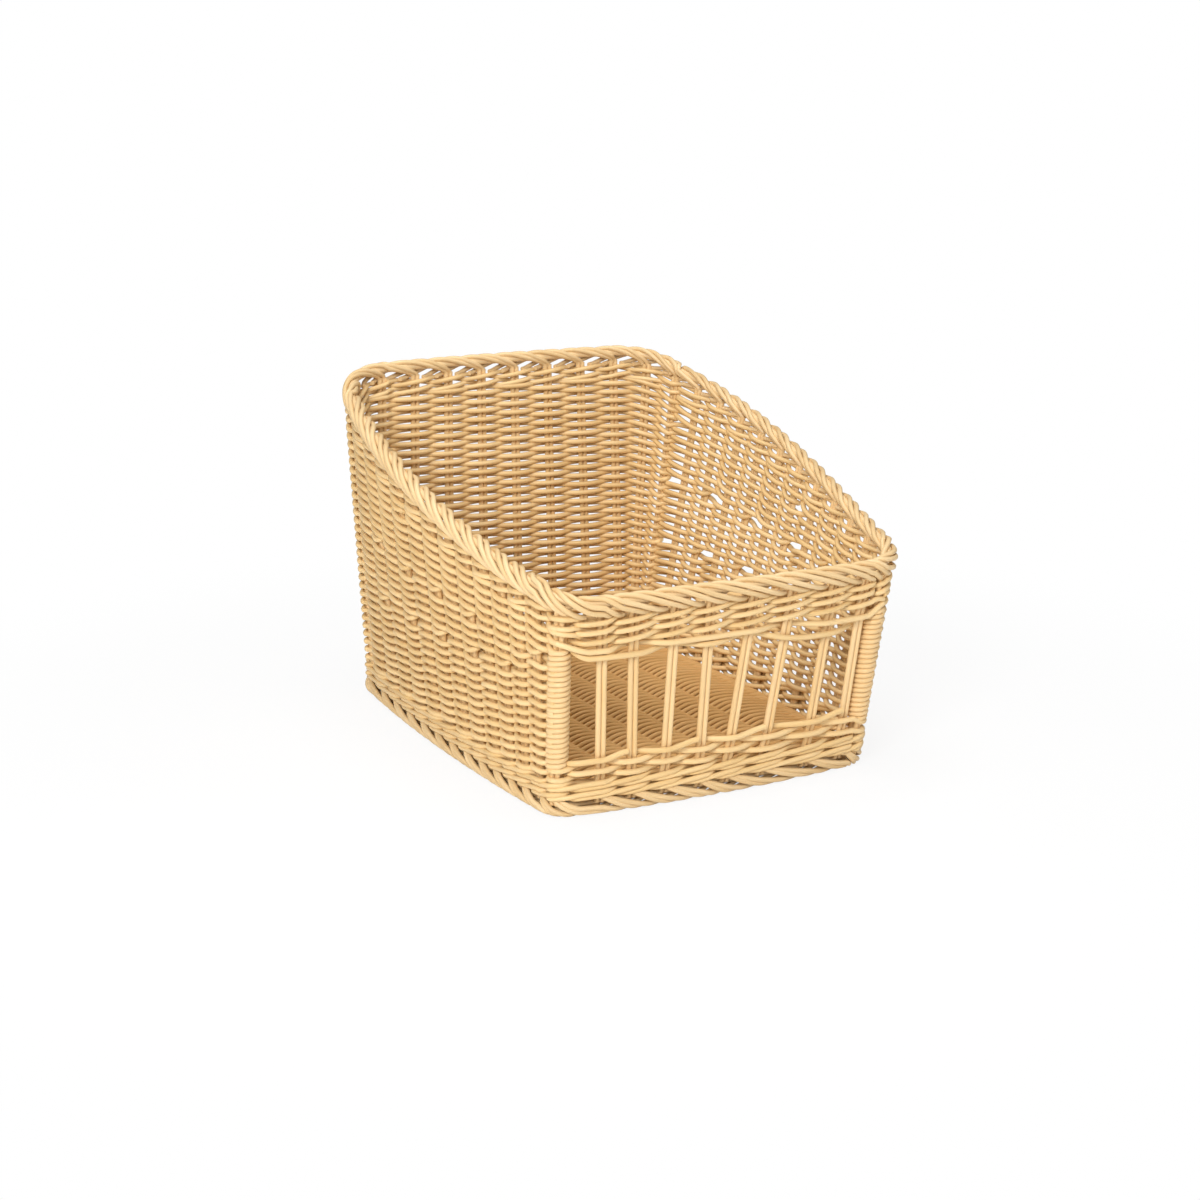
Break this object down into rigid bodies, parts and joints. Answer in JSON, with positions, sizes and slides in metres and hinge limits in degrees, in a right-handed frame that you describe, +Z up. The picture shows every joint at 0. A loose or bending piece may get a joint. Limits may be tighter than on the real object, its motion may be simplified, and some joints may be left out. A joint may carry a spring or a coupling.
{
  "type": "woven plastic display basket",
  "caption": "Rectangular woven plastic display basket with a high back, sloping sides, a rolled rim and a low front with a barred window.",
  "frame": {"origin": "on the ground, under the middle of the basket's overall box", "axes": "+Z up, -Y towards the front window, +X to the right seen from the front"},
  "size_m": [0.2923, 0.349, 0.2365],
  "materials": {
    "woven_strand": "round solid plastic strand with a satin surface, honey beige",
    "upright_strand": "round solid plastic rod with a satin surface, honey beige",
    "wrapping_strand": "round solid plastic strand wound round the posts, satin, honey beige",
    "border_strand": "round solid plastic strands rolled into a rope-like border, satin, honey beige",
    "floor_strand": "round solid plastic strand, satin, slightly browner honey beige"
  },
  "bodies": {
    "root": {"back_wall_weave": "woven_strand", "floor_weave": "floor_strand", "foot_border": "border_strand", "foot_wale": "woven_strand", "front_lower_band": "woven_strand", "front_upper_band": "woven_strand", "left_post_core": "upright_strand", "left_post_wrap": "wrapping_strand", "left_wall_weave": "woven_strand", "right_post_core": "upright_strand", "right_post_wrap": "wrapping_strand", "right_wall_weave": "woven_strand", "rim_border": "border_strand", "rim_wale": "woven_strand", "wall_stake_01": "upright_strand", "wall_stake_02": "upright_strand", "wall_stake_03": "upright_strand", "wall_stake_04": "upright_strand", "wall_stake_05": "upright_strand", "wall_stake_06": "upright_strand", "wall_stake_07": "upright_strand", "wall_stake_08": "upright_strand", "wall_stake_09": "upright_strand", "wall_stake_10": "upright_strand", "wall_stake_11": "upright_strand", "wall_stake_12": "upright_strand", "wall_stake_13": "upright_strand", "wall_stake_14": "upright_strand", "wall_stake_15": "upright_strand", "wall_stake_16": "upright_strand", "wall_stake_17": "upright_strand", "wall_stake_18": "upright_strand", "wall_stake_19": "upright_strand", "wall_stake_20": "upright_strand", "wall_stake_21": "upright_strand", "wall_stake_22": "upright_strand", "wall_stake_23": "upright_strand", "wall_stake_24": "upright_strand", "wall_stake_25": "upright_strand", "wall_stake_26": "upright_strand", "wall_stake_27": "upright_strand", "wall_stake_28": "upright_strand", "wall_stake_29": "upright_strand", "wall_stake_30": "upright_strand", "wall_stake_31": "upright_strand", "wall_stake_32": "upright_strand", "wall_stake_33": "upright_strand", "wall_stake_34": "upright_strand", "wall_stake_35": "upright_strand", "window_bar_1": "upright_strand", "window_bar_2": "upright_strand", "window_bar_3": "upright_strand", "window_bar_4": "upright_strand", "window_bar_5": "upright_strand", "window_bar_6": "upright_strand", "window_bar_7": "upright_strand", "window_bar_8": "upright_strand"}
  },
  "joints": []
}
